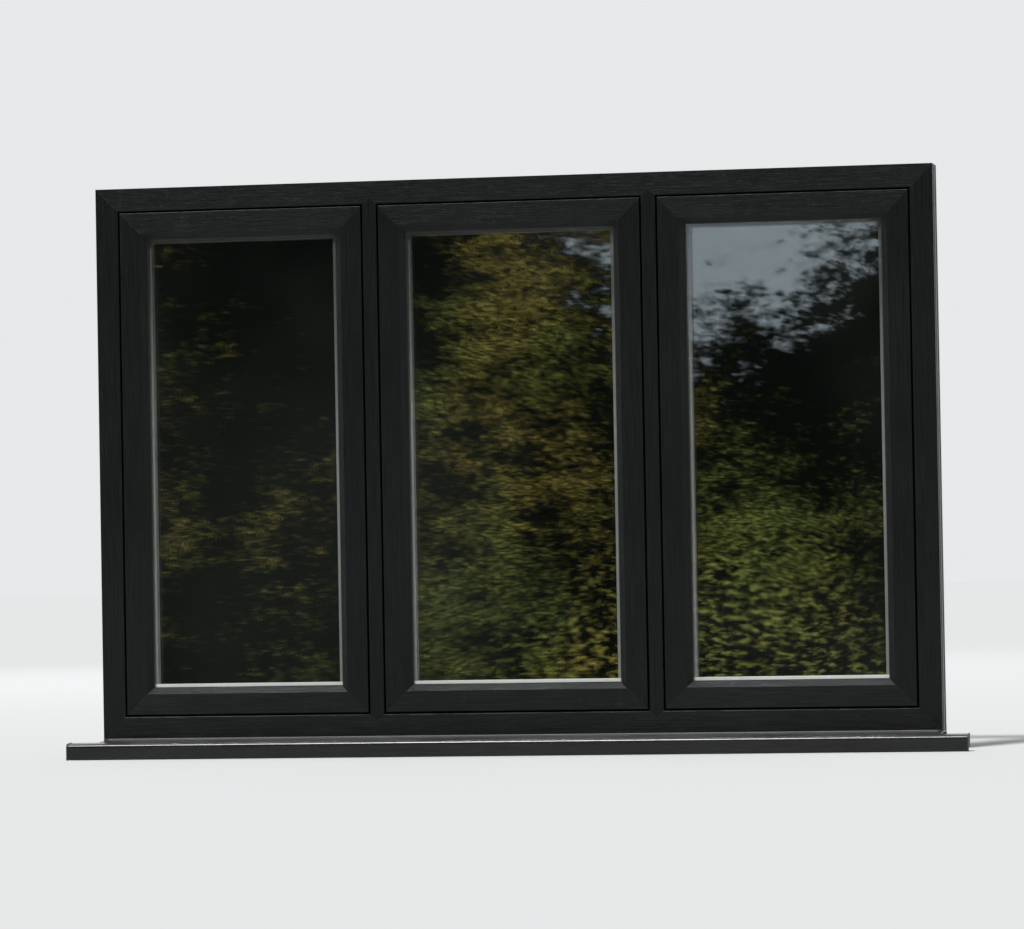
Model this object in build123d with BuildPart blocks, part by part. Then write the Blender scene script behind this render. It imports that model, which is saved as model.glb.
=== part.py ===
from build123d import *
import os

# Three-light flush casement window, in millimetres.
# +X is to the right as seen from outside, -Y is outside and +Y the room, +Z is up.
# The origin is on the flat underside of the sill, mid-width, under the outer face of the frame.

# Overall sizes
frame_width = 1770
overall_height = 1190
seat_height = 30
profile_depth = 70

# Walls of the hollow extrusions
wall = 2.8
web = 1.5
bead_wall = 1.5

# Outer frame and mullion section, in from the outer edge and back from the outer face
frame_face = 48
mullion_face = 30
stop_projection = 18
stop_front = 54
front_web = 14
frame_arris = 2.5
back_arris = 1.5
clip_groove_places = (16, 54)
clip_groove_width = 10
clip_groove_depth = 3

# Sash section
shadow_gap = 3.5
sash_face = 44
bevel = 12
sash_nib = 8
hardware_edge = 8
hardware_groove_place = 29
hardware_groove_width = 16
hardware_groove_depth = 3
sash_step = 17
sash_step_front = 50
sash_depth = 66
leg_back = 13
rebate_floor = 40
sash_arris = 2
weld_groove = 0.5

# Double-glazed unit: 4 mm glass, 20 mm cavity, 4 mm glass
glass_thickness = 4
cavity = 20
packer = 5
outer_gasket = 3
spacer_cover = 54
spacer_height = 10
spacer_corner = 3
gasket_cover = 47
gasket_height = 10

# Glazing bead on the room side
bead_gasket = 3
bead_chamfer = 8
bead_arris = 1
bead_mitre_gap = 0.3

# Sill
sill_length = 1890
sill_projection = 80
wall_setback = 45
seat_clearance = 2
top_step = 1.5
nose_height = 33
nose_drop = 8
nose_radius = 8
lip_thickness = 6
drip_groove = 4
rear_lip_height = 12
rear_lip_thickness = 3
sill_webs = (-36, -2, 34)
end_thickness = 3
end_margin = 1

# Handle
base_width = 20
base_length = 116
base_depth = 11
base_chamfer = 2.5
barrel_radius = 5.5
barrel_depth = 3
barrel_rise = 36
neck_radius = 8
neck_length = 14
lever_width = 17
lever_thickness = 9
lever_chamfer = 2.5
lever_bend = 22
lever_reach = 14
lever_length = 122

# Worked-out places
frame_bottom = seat_height
frame_top = overall_height
frame_left = -frame_width / 2
half_mullion = mullion_face / 2
mullion_places = {"mullion_left": -frame_width / 6, "mullion_right": frame_width / 6}
light_spans = {
    "left": (frame_left + frame_face, mullion_places["mullion_left"] - half_mullion),
    "middle": (
        mullion_places["mullion_left"] + half_mullion,
        mullion_places["mullion_right"] - half_mullion,
    ),
    "right": (mullion_places["mullion_right"] + half_mullion, -frame_left - frame_face),
}
sash_sightline = sash_face + bevel
unit_front = leg_back + outer_gasket
unit_back = unit_front + 2 * glass_thickness + cavity
bead_front = unit_back + bead_gasket
weld_point = frame_face - half_mullion
weld_depth = stop_projection + half_mullion
weld_length = 2 * sash_sightline

os.makedirs("parts", exist_ok=True)


def keep(piece, name):
    """Labels a finished piece and writes its STEP file."""
    piece.part.label = name
    export_step(piece.part, f"parts/{name}.step")


def side_planes(x0, x1, z0, z1):
    """Section planes of the four sides of an upright rectangle, with half of each side's run.

    On each plane, x runs inwards from the rectangle's edge and y runs back from the outer face.
    """
    mid_x, mid_z = (x0 + x1) / 2, (z0 + z1) / 2
    half_x, half_z = (x1 - x0) / 2, (z1 - z0) / 2
    return {
        "bottom": (Plane((mid_x, 0, z0), x_dir=(0, 0, 1), z_dir=(-1, 0, 0)), half_x),
        "top": (Plane((mid_x, 0, z1), x_dir=(0, 0, -1), z_dir=(1, 0, 0)), half_x),
        "left": (Plane((x0, 0, mid_z), x_dir=(1, 0, 0), z_dir=(0, 0, 1)), half_z),
        "right": (Plane((x1, 0, mid_z), x_dir=(-1, 0, 0), z_dir=(0, 0, -1)), half_z),
    }


def facing_plane(x, y, z):
    """A plane that faces the room, with its x along +X and its origin at the given point."""
    return Plane((x, y, z), x_dir=(1, 0, 0), z_dir=(0, 1, 0))


def section_profile(outline, rounded, chambers):
    """The section of an extrusion on the XY plane, with the listed corners rounded to their radii.

    Each chamber is a hollow between two places across the section and two places back through it.
    """
    with BuildSketch() as profile:
        with BuildLine():
            Polyline(*outline, close=True)
        make_face()
        for corner, radius in rounded:
            fillet(profile.vertices().sort_by_distance(Vertex(*corner))[0], radius)
        for x0, x1, y0, y1 in chambers:
            with Locations(((x0 + x1) / 2, (y0 + y1) / 2)):
                Rectangle(x1 - x0, y1 - y0, mode=Mode.SUBTRACT)
    return profile.sketch


def weld_line(start, along):
    """A thin square rod on edge, which leaves the V of a cleaned weld along a face."""
    with BuildPart() as rod:
        with BuildSketch(Plane(start, x_dir=(0, 1, 0), z_dir=along)):
            Rectangle(weld_groove * 2**0.5, weld_groove * 2**0.5, rotation=45)
        extrude(amount=weld_length)
    return rod.part


def mitred_bar(plane, half_run, profile, clearance=0.0, weld_faces=()):
    """A bar with the given section and both ends cut to 45 degrees, the cuts set back by clearance.

    weld_faces gives how far back the faces lie that carry a cleaned weld.
    """
    mitres = []
    grooves = []
    for end in (1, -1):
        mitre_normal = (plane.z_dir * end + plane.x_dir).normalized()
        tip = plane.origin + plane.z_dir * end * half_run
        mitres.append(Plane(tip - mitre_normal * clearance, z_dir=mitre_normal))
        for face in weld_faces:
            grooves.append(weld_line(tip + plane.y_dir * face, plane.x_dir - plane.z_dir * end))
    with BuildPart() as bar:
        with BuildSketch(plane):
            add(profile)
        extrude(amount=half_run, both=True)
        for mitre in mitres:
            split(bisect_by=mitre, keep=Keep.BOTTOM)
        for groove in grooves:
            add(groove, mode=Mode.SUBTRACT)
    return bar


# Outer frame: a full-depth extrusion with a stop on the room side, two clip grooves in its outer edge
# and three chambers, of which the middle one is the widest, as it takes the steel
groove_corners = []
for place in sorted(clip_groove_places, reverse=True):
    groove_corners += [
        (0, place + clip_groove_width / 2),
        (clip_groove_depth, place + clip_groove_width / 2),
        (clip_groove_depth, place - clip_groove_width / 2),
        (0, place - clip_groove_width / 2),
    ]
frame_outline = [
    (0, 0),
    (frame_face, 0),
    (frame_face, stop_front),
    (frame_face + stop_projection, stop_front),
    (frame_face + stop_projection, profile_depth),
    (0, profile_depth),
    *groove_corners,
]
frame_rounds = [
    ((frame_face, 0), frame_arris),
    ((frame_face + stop_projection, stop_front), back_arris),
    ((frame_face + stop_projection, profile_depth), back_arris),
]
frame_inside = clip_groove_depth + wall
frame_chambers = [
    (frame_inside, frame_face - wall, wall, front_web),
    (frame_inside, frame_face - wall, front_web + web, stop_front + wall - web),
    (frame_inside, frame_face + stop_projection - wall, stop_front + wall, profile_depth - wall),
]
frame_profile = section_profile(frame_outline, frame_rounds, frame_chambers)
frame_names = {
    "bottom": "frame_bottom_rail",
    "top": "frame_head",
    "left": "frame_jamb_left",
    "right": "frame_jamb_right",
}

frame_sides = side_planes(frame_left, -frame_left, frame_bottom, frame_top)
low_point = frame_bottom + weld_point
high_point = frame_top - weld_point
foot_grooves = {"bottom": [], "top": []}
for place in mullion_places.values():
    for face in (0, profile_depth):
        for lean in (1, -1):
            foot_grooves["bottom"].append(weld_line((place, face, low_point), (lean, 0, 1)))
            foot_grooves["top"].append(weld_line((place, face, high_point), (lean, 0, -1)))
for side, (plane, half_run) in frame_sides.items():
    bar = mitred_bar(plane, half_run, frame_profile, weld_faces=(0, profile_depth))
    with BuildPart() as member:
        add(bar.part)
        if side in foot_grooves:
            # A 45 degree notch takes the pointed end of each mullion
            inward = plane.x_dir.Z
            point_z = plane.origin.Z + inward * weld_point
            with BuildSketch(Plane.XZ):
                for place in mullion_places.values():
                    with BuildLine():
                        Polyline(
                            (place, point_z),
                            (place + weld_depth, point_z + inward * weld_depth),
                            (place - weld_depth, point_z + inward * weld_depth),
                            close=True,
                        )
                    make_face()
            extrude(amount=-profile_depth, mode=Mode.SUBTRACT)
            for groove in foot_grooves[side]:
                add(groove, mode=Mode.SUBTRACT)
    keep(member, frame_names[side])

# Mullions: the frame's section mirrored about its middle, with pointed ends welded into the notches
mullion_outline = [
    (-half_mullion, 0),
    (half_mullion, 0),
    (half_mullion, stop_front),
    (half_mullion + stop_projection, stop_front),
    (half_mullion + stop_projection, profile_depth),
    (-half_mullion - stop_projection, profile_depth),
    (-half_mullion - stop_projection, stop_front),
    (-half_mullion, stop_front),
]
mullion_rounds = [
    ((sign * x, y), radius)
    for sign in (1, -1)
    for x, y, radius in (
        (half_mullion, 0, frame_arris),
        (half_mullion + stop_projection, stop_front, back_arris),
        (half_mullion + stop_projection, profile_depth, back_arris),
    )
]
mullion_chambers = [
    (wall - half_mullion, half_mullion - wall, wall, front_web),
    (wall - half_mullion, half_mullion - wall, front_web + web, stop_front + wall - web),
    (
        wall - half_mullion - stop_projection,
        half_mullion + stop_projection - wall,
        stop_front + wall,
        profile_depth - wall,
    ),
]
mullion_profile = section_profile(mullion_outline, mullion_rounds, mullion_chambers)
for name, place in mullion_places.items():
    with BuildPart() as mullion:
        with BuildSketch(Plane((place, 0, low_point), x_dir=(1, 0, 0), z_dir=(0, 0, 1))):
            add(mullion_profile)
        extrude(amount=high_point - low_point)
        for side in (1, -1):
            split(bisect_by=Plane((place, 0, low_point), z_dir=(side, 0, -1)), keep=Keep.BOTTOM)
            split(bisect_by=Plane((place, 0, high_point), z_dir=(side, 0, 1)), keep=Keep.BOTTOM)
        for groove in foot_grooves["bottom"] + foot_grooves["top"]:
            add(groove, mode=Mode.SUBTRACT)
    keep(mullion, name)

# Sash: a face flush with the frame, a glazing bevel, a rebate for the glass and a groove for the lock
sash_outline = [
    (0, 0),
    (sash_face, 0),
    (sash_sightline, bevel),
    (sash_sightline, leg_back),
    (rebate_floor, leg_back),
    (rebate_floor, sash_depth),
    (sash_step, sash_depth),
    (sash_step, sash_step_front),
    (hardware_edge, sash_step_front),
    (hardware_edge, hardware_groove_place + hardware_groove_width / 2),
    (hardware_edge + hardware_groove_depth, hardware_groove_place + hardware_groove_width / 2),
    (hardware_edge + hardware_groove_depth, hardware_groove_place - hardware_groove_width / 2),
    (hardware_edge, hardware_groove_place - hardware_groove_width / 2),
    (hardware_edge, sash_nib),
    (0, sash_nib),
]
sash_rounds = [
    ((0, 0), sash_arris),
    ((sash_face, 0), sash_arris),
    ((sash_step, sash_depth), back_arris),
]
sash_chambers = [
    (hardware_edge + wall, sash_face - wall / 2, wall, leg_back - wall),
    (
        hardware_edge + hardware_groove_depth + wall,
        rebate_floor - wall,
        leg_back - wall + web,
        sash_step_front - wall,
    ),
    (sash_step + wall, rebate_floor - wall, sash_step_front - wall + web, sash_depth - wall),
]
sash_profile = section_profile(sash_outline, sash_rounds, sash_chambers)
bead_outline = [
    (rebate_floor, bead_front),
    (sash_sightline, bead_front),
    (sash_sightline, sash_depth - bead_chamfer),
    (sash_sightline - bead_chamfer, sash_depth),
    (rebate_floor, sash_depth),
]
bead_rounds = [
    ((sash_sightline, sash_depth - bead_chamfer), bead_arris),
    ((sash_sightline - bead_chamfer, sash_depth), bead_arris),
]
bead_chambers = [
    (
        rebate_floor + bead_wall,
        sash_sightline - bead_wall,
        bead_front + bead_wall,
        sash_depth - bead_chamfer - bead_arris,
    )
]
bead_profile = section_profile(bead_outline, bead_rounds, bead_chambers)
sash_names = {
    "bottom": "bottom_rail",
    "top": "top_rail",
    "left": "left_stile",
    "right": "right_stile",
}


def rectangle_ring(x0, x1, z0, z1, front, depth, inset, band, corner=0.0):
    """A flat rectangular ring, inset from the given rectangle, band wide and depth thick."""
    width, height = x1 - x0 - 2 * inset, z1 - z0 - 2 * inset
    with BuildPart() as ring:
        with BuildSketch(facing_plane((x0 + x1) / 2, front, (z0 + z1) / 2)):
            if corner:
                RectangleRounded(width, height, corner + band)
                RectangleRounded(width - 2 * band, height - 2 * band, corner, mode=Mode.SUBTRACT)
            else:
                Rectangle(width, height)
                Rectangle(width - 2 * band, height - 2 * band, mode=Mode.SUBTRACT)
        extrude(amount=depth)
    return ring


def pane(x0, x1, z0, z1, front):
    """A sheet of glass that fills the sash's rebate, less the packers round its edge."""
    edge = rebate_floor + packer
    with BuildPart() as sheet:
        with BuildSketch(facing_plane((x0 + x1) / 2, front, (z0 + z1) / 2)):
            Rectangle(x1 - x0 - 2 * edge, z1 - z0 - 2 * edge)
        extrude(amount=glass_thickness)
    return sheet


def handle_base_at(x, z):
    """The handle's long base with chamfered edges and the key barrel above its middle."""
    with BuildPart() as base:
        with BuildSketch(facing_plane(x, sash_depth, z)):
            SlotOverall(base_length, base_width, rotation=90)
        extrude(amount=base_depth)
        chamfer(base.faces().sort_by(Axis.Y)[-1].edges(), base_chamfer)
        with BuildSketch(facing_plane(x, sash_depth + base_depth, z + barrel_rise)):
            Circle(barrel_radius)
        extrude(amount=barrel_depth)
        chamfer(base.faces().sort_by(Axis.Y)[-1].edges(), 0.5)
    return base


def handle_lever_at(x, z):
    """The lever: a neck, and a flat bar cranked towards the room that hangs down along the stile."""
    back = sash_depth + base_depth
    head = back + neck_length - lever_thickness / 2
    grip = head + lever_reach
    end_round = lever_thickness / 2
    with BuildPart() as lever:
        with BuildSketch(Plane((x, 0, z), x_dir=(0, 1, 0), z_dir=(1, 0, 0))):
            with BuildLine():
                FilletPolyline(
                    (head, neck_radius - end_round),
                    (head, -neck_radius),
                    (grip, -lever_length * 0.36),
                    (grip, neck_radius + end_round - lever_length),
                    radius=lever_bend,
                )
            trace(line_width=lever_thickness)
        extrude(amount=lever_width / 2, both=True)
        long_sides = lever.faces().filter_by(Axis.X)
        chamfer(long_sides.edges(), lever_chamfer)
        with BuildSketch(facing_plane(x, back, z)):
            Circle(neck_radius)
        extrude(amount=neck_length - lever_thickness / 2)
    return lever


sash_bottom = frame_bottom + frame_face + shadow_gap
sash_top = frame_top - frame_face - shadow_gap
for light, (span_left, span_right) in light_spans.items():
    sash_edges = (span_left + shadow_gap, span_right - shadow_gap, sash_bottom, sash_top)

    beads = []
    for side, (plane, half_run) in side_planes(*sash_edges).items():
        sash_bar = mitred_bar(plane, half_run, sash_profile, weld_faces=(0, sash_depth))
        keep(sash_bar, f"sash_{light}_{sash_names[side]}")
        beads.append(mitred_bar(plane, half_run, bead_profile, clearance=bead_mitre_gap / 2))
    with BuildPart() as glazing_beads:
        for bead in beads:
            add(bead.part)
    keep(glazing_beads, f"glazing_beads_{light}")

    keep(pane(*sash_edges, unit_front), f"pane_outer_{light}")
    keep(pane(*sash_edges, unit_back - glass_thickness), f"pane_inner_{light}")
    spacer_front = unit_front + glass_thickness
    spacer = rectangle_ring(
        *sash_edges, spacer_front, cavity, spacer_cover, spacer_height, spacer_corner
    )
    keep(spacer, f"spacer_bar_{light}")

    outer = rectangle_ring(*sash_edges, leg_back, outer_gasket, gasket_cover, gasket_height)
    inner = rectangle_ring(*sash_edges, unit_back, bead_gasket, gasket_cover, gasket_height)
    with BuildPart() as glazing_gasket:
        add(outer.part)
        add(inner.part)
    keep(glazing_gasket, f"glazing_gasket_{light}")

    # The seal closes the space between the frame's stop and the step of the sash
    seal_inset = hardware_edge + 1
    seal_band = stop_projection - shadow_gap - seal_inset - 1
    seal_depth = stop_front - sash_step_front
    seal = rectangle_ring(*sash_edges, sash_step_front, seal_depth, seal_inset, seal_band)
    keep(seal, f"weather_seal_{light}")

    # The side lights open, and their handles stand on the stile beside the mullion
    if light != "middle":
        stile_middle = (sash_step + rebate_floor) / 2
        handle_x = sash_edges[1] - stile_middle if light == "left" else sash_edges[0] + stile_middle
        handle_z = (sash_bottom + sash_top) / 2
        keep(handle_base_at(handle_x, handle_z), f"handle_base_{light}")
        keep(handle_lever_at(handle_x, handle_z), f"handle_lever_{light}")

# Sill: a seat for the frame with a lip behind it, a weathered top, a rounded nose and a drip lip
nose = -sill_projection
sill_top = nose_height - nose_drop
slope_start = seat_height - top_step
slope_end = nose + nose_radius
lip_back = nose + lip_thickness
groove_back = lip_back + drip_groove
sill_back = profile_depth + rear_lip_thickness
half_sill = sill_length / 2 - end_thickness


def sill_skin(y):
    """Height of the sill's upper face at a place between the nose and the frame."""
    return sill_top + (slope_start - sill_top) * (y - slope_end) / (-seat_clearance - slope_end)


with BuildPart() as sill:
    with BuildSketch(Plane.YZ):
        with BuildLine():
            Polyline(
                (groove_back, 0),
                (sill_back, 0),
                (sill_back, seat_height + rear_lip_height),
                (profile_depth, seat_height + rear_lip_height),
                (profile_depth, seat_height),
                (-seat_clearance, seat_height),
                (-seat_clearance, slope_start),
                (slope_end, sill_top),
            )
            RadiusArc((slope_end, sill_top), (nose, sill_top - nose_radius), -nose_radius)
            Polyline(
                (nose, sill_top - nose_radius),
                (nose, -nose_drop),
                (lip_back, -nose_drop),
                (lip_back, drip_groove),
                (groove_back, drip_groove),
                (groove_back, 0),
            )
        make_face()
        # Chambers: one behind the nose, one under the slope and two under the frame
        with BuildLine():
            Polyline(
                (slope_end, sill_top - wall),
                (sill_webs[0], sill_skin(sill_webs[0]) - wall),
                (sill_webs[0], wall),
                (groove_back + wall, wall),
                (groove_back + wall, drip_groove + wall),
                (nose + wall, drip_groove + wall),
                (nose + wall, sill_top - nose_radius),
            )
            RadiusArc(
                (slope_end, sill_top - wall),
                (nose + wall, sill_top - nose_radius),
                wall - nose_radius,
            )
        make_face(mode=Mode.SUBTRACT)
        with BuildLine():
            Polyline(
                (sill_webs[0] + web, wall),
                (sill_webs[1], wall),
                (sill_webs[1], sill_skin(sill_webs[1]) - wall),
                (sill_webs[0] + web, sill_skin(sill_webs[0] + web) - wall),
                close=True,
            )
        make_face(mode=Mode.SUBTRACT)
        for front, back in ((sill_webs[1] + web, sill_webs[2]), (sill_webs[2] + web, sill_back - wall)):
            with Locations(((front + back) / 2, seat_height / 2)):
                Rectangle(back - front, seat_height - 2 * wall, mode=Mode.SUBTRACT)
    extrude(amount=half_sill, both=True)
    # Horns: beyond the frame the sill is cut back to the part that stands in front of the wall,
    # which leaves its front chamber open towards the wall
    with BuildSketch(Plane.XY.offset(-nose_drop)):
        for side in (1, -1):
            with Locations((side * (frame_width / 2 + half_sill) / 2, (sill_back - wall_setback) / 2)):
                Rectangle(half_sill - frame_width / 2, sill_back + wall_setback)
    extrude(amount=seat_height + rear_lip_height + nose_drop, mode=Mode.SUBTRACT)
keep(sill, "sill")

# Moulded ends: plates that follow the nose with a small margin
for side, name in ((-1, "sill_end_left"), (1, "sill_end_right")):
    with BuildPart() as sill_end:
        with BuildSketch(Plane((side * half_sill, 0, 0), x_dir=(0, 1, 0), z_dir=(1, 0, 0))):
            with BuildLine():
                end_radius = nose_radius + end_margin
                Polyline(
                    (nose - end_margin, sill_top - nose_radius),
                    (nose - end_margin, -nose_drop - end_margin),
                    (lip_back + end_margin, -nose_drop - end_margin),
                    (lip_back + end_margin, -end_margin),
                    (-wall_setback, -end_margin),
                    (-wall_setback, sill_skin(-wall_setback) + end_margin),
                    (slope_end, sill_top + end_margin),
                )
                RadiusArc(
                    (slope_end, sill_top + end_margin),
                    (nose - end_margin, sill_top - nose_radius),
                    -end_radius,
                )
            make_face()
        extrude(amount=side * end_thickness)
        chamfer(sill_end.faces().sort_by(Axis.X)[-1 if side > 0 else 0].edges(), 0.5)
    keep(sill_end, name)
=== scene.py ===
import logging
import math
from dataclasses import dataclass
from enum import Enum
from typing import Optional, Sequence, Union

import bmesh
import bpy
from mathutils import Matrix, Vector


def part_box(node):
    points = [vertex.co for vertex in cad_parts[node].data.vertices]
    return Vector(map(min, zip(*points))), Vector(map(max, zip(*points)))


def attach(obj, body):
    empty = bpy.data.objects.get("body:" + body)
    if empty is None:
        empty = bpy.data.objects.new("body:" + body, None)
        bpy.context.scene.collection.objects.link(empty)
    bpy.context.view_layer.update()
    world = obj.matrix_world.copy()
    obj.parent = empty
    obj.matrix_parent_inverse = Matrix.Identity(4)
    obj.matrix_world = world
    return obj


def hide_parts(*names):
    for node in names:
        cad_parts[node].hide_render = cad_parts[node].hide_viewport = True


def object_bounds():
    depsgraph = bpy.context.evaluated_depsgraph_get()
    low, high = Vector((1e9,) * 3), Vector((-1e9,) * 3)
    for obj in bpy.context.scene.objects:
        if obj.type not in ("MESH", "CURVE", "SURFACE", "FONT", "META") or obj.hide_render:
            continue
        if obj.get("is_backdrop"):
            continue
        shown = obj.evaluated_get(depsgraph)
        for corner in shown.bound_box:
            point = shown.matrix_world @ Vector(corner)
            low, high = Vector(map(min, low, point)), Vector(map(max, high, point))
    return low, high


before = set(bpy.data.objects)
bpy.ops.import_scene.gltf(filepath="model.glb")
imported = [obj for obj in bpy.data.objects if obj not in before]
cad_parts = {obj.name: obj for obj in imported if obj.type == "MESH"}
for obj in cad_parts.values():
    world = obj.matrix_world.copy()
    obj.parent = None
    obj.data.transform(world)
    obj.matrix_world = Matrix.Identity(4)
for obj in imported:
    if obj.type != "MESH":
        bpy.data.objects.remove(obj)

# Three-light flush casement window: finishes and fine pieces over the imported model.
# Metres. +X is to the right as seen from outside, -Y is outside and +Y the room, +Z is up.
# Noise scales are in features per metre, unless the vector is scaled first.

log = logging.getLogger("window")

Material = bpy.types.Material
Mesh = bmesh.types.BMesh
Node = bpy.types.Node
Object = bpy.types.Object
Socket = bpy.types.NodeSocket
Tree = bpy.types.NodeTree
Value = Union[float, Sequence[float], Socket]
Inputs = dict[Union[str, int], Value]
Colour = tuple[float, float, float]
Place = tuple[float, float, float]
Pairs = tuple[tuple[float, float], ...]

BODY = "root"
LIGHTS = ("left", "middle", "right")
NUMBER, VECTOR = "NodeSocketFloat", "NodeSocketVector"


class GrainRun(Enum):
    """The way the foil's woodgrain runs on a length of profile."""

    ACROSS = (38.0, 1500.0, 1500.0)
    UPRIGHT = (1500.0, 1500.0, 38.0)


class Ends(Enum):
    """What a skin over rings does at its first and last ring."""

    CAPPED = "both are filled"
    OPEN = "both stay open"
    JOINED = "they are joined to each other"


class Graph:
    """A node tree with short calls that add nodes and link them."""

    def __init__(self, tree: Tree) -> None:
        """Keeps the tree of a material, world or shader group."""
        self.tree = tree

    def node(self, kind: str, inputs: Optional[Inputs] = None, **settings: object) -> Node:
        """Adds a node, sets its options and fills or links its inputs.

        Args:
            kind: The node's type name without the ShaderNode prefix.
            inputs: Values or sockets by input name or number.
            **settings: Options of the node, such as operation.

        Returns:
            The new node.
        """
        made = self.tree.nodes.new(f"ShaderNode{kind}")
        for name, setting in settings.items():
            setattr(made, name, setting)
        for name, value in (inputs or {}).items():
            self.feed(made.inputs[name], value)
        return made

    def feed(self, target: Socket, value: Value) -> None:
        """Sets a socket's value, or links another socket to it.

        Args:
            target: The input socket.
            value: A number, a colour or vector, or an output socket.
        """
        if isinstance(value, Socket):
            self.tree.links.new(value, target)
        elif target.type == "RGBA" and not isinstance(value, float):
            target.default_value = (*value[:3], 1.0)
        else:
            target.default_value = value

    def maths(self, operation: str, *values: Value, clamp: bool = False) -> Socket:
        """One Math node, with its result held between 0 and 1 where clamp is set."""
        inputs = dict(enumerate(values))
        return self.node("Math", inputs, operation=operation, use_clamp=clamp).outputs[0]

    def ramp(
        self, value: Value, low: float, high: float, start: Value = 0.0, end: Value = 1.0
    ) -> Socket:
        """A smooth step of a value, from start at low to end at high."""
        inputs = {"Value": value, "From Min": low, "From Max": high, "To Min": start, "To Max": end}
        return self.node("MapRange", inputs, interpolation_type="SMOOTHSTEP").outputs["Result"]

    def blend(self, amount: Value, first: Value, second: Value) -> Socket:
        """A mix of two colours, which is the second one at amount 1."""
        return self.node("Mix", {0: amount, 6: first, 7: second}, data_type="RGBA").outputs[2]

    def choose(self, amount: Socket, first: Socket, second: Socket) -> Socket:
        """A mix of two shaders, which is the second one at amount 1."""
        return self.node("MixShader", {0: amount, 1: first, 2: second}).outputs[0]

    def noise(
        self, vector: Value, scale: Value, detail: float = 2.0, roughness: float = 0.5
    ) -> Socket:
        """Fractal noise, mostly between 0.3 and 0.7, with scale features to one unit."""
        inputs = {"Vector": vector, "Scale": scale, "Detail": detail, "Roughness": roughness}
        return self.node("TexNoise", inputs).outputs[0]

    def place(self) -> Socket:
        """The place on the object, in metres."""
        return self.node("TexCoord").outputs["Object"]

    def mapped(self, scale: Sequence[float], vector: Socket) -> Socket:
        """A vector scaled along each axis."""
        return self.node("Mapping", {"Vector": vector, "Scale": scale}).outputs[0]

    def scaled(self, colour: Value, factor: Value) -> Socket:
        """A colour made lighter or darker by a factor."""
        return self.node("VectorMath", {0: colour, "Scale": factor}, operation="SCALE").outputs[0]

    def distance(self, vector: Socket, point: Place) -> Socket:
        """How far a place lies from a point."""
        inputs = {0: vector, 1: point}
        return self.node("VectorMath", inputs, operation="DISTANCE").outputs["Value"]

    def axis_parts(self, vector: Socket) -> tuple[Socket, Socket, Socket]:
        """The X, Y and Z of a vector."""
        parts = self.node("SeparateXYZ", {0: vector})
        return parts.outputs[0], parts.outputs[1], parts.outputs[2]

    def bump(
        self, height: Socket, distance: float, strength: float = 1.0, normal: Optional[Socket] = None
    ) -> Socket:
        """A normal that follows a height.

        Args:
            height: The height.
            distance: How many metres one unit of height is.
            strength: How much of it shows.
            normal: The normal it starts from, or None for the mesh's own.

        Returns:
            The normal socket.
        """
        inputs = {"Height": height, "Distance": distance, "Strength": strength}
        if normal is not None:
            inputs["Normal"] = normal
        return self.node("Bump", inputs).outputs[0]

    def group(self, tree: Tree, **inputs: Value) -> Node:
        """Places a shared effect.

        Args:
            tree: The shader node group.
            **inputs: Values or sockets by the group's input names.

        Returns:
            The group node.
        """
        placed = self.node("Group")
        placed.node_tree = tree
        for name, value in inputs.items():
            self.feed(placed.inputs[name], value)
        return placed


class MaterialGraph(Graph):
    """The node tree of a new material, empty but for its output."""

    def __init__(self, name: str) -> None:
        """Makes the material.

        Args:
            name: The material's name.
        """
        self.material = bpy.data.materials.new(name)
        self.material.use_nodes = True
        super().__init__(self.material.node_tree)
        self.tree.nodes.clear()
        self.surface = self.node("OutputMaterial").inputs["Surface"]

    def show(self, shader: Socket) -> Material:
        """Puts a shader on the surface and returns the finished material."""
        self.feed(self.surface, shader)
        return self.material


class EffectGraph(Graph):
    """The node tree of a shader node group, with named inputs and outputs."""

    def __init__(self, name: str, **inputs: str) -> None:
        """Makes the group with its inputs.

        Args:
            name: The group's name.
            **inputs: Socket type by input name.
        """
        super().__init__(bpy.data.node_groups.new(name, "ShaderNodeTree"))
        for title, kind in inputs.items():
            self.tree.interface.new_socket(name=title, in_out="INPUT", socket_type=kind)
        self.given = self.tree.nodes.new("NodeGroupInput").outputs

    def put_out(self, **outputs: Socket) -> Tree:
        """Gives the group its outputs.

        Args:
            **outputs: What comes out, by output name.

        Returns:
            The finished group.
        """
        for title, socket in outputs.items():
            kind = VECTOR if socket.type == "VECTOR" else NUMBER
            self.tree.interface.new_socket(name=title, in_out="OUTPUT", socket_type=kind)
        target = self.tree.nodes.new("NodeGroupOutput")
        for title, socket in outputs.items():
            self.tree.links.new(socket, target.inputs[title])
        return self.tree


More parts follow.
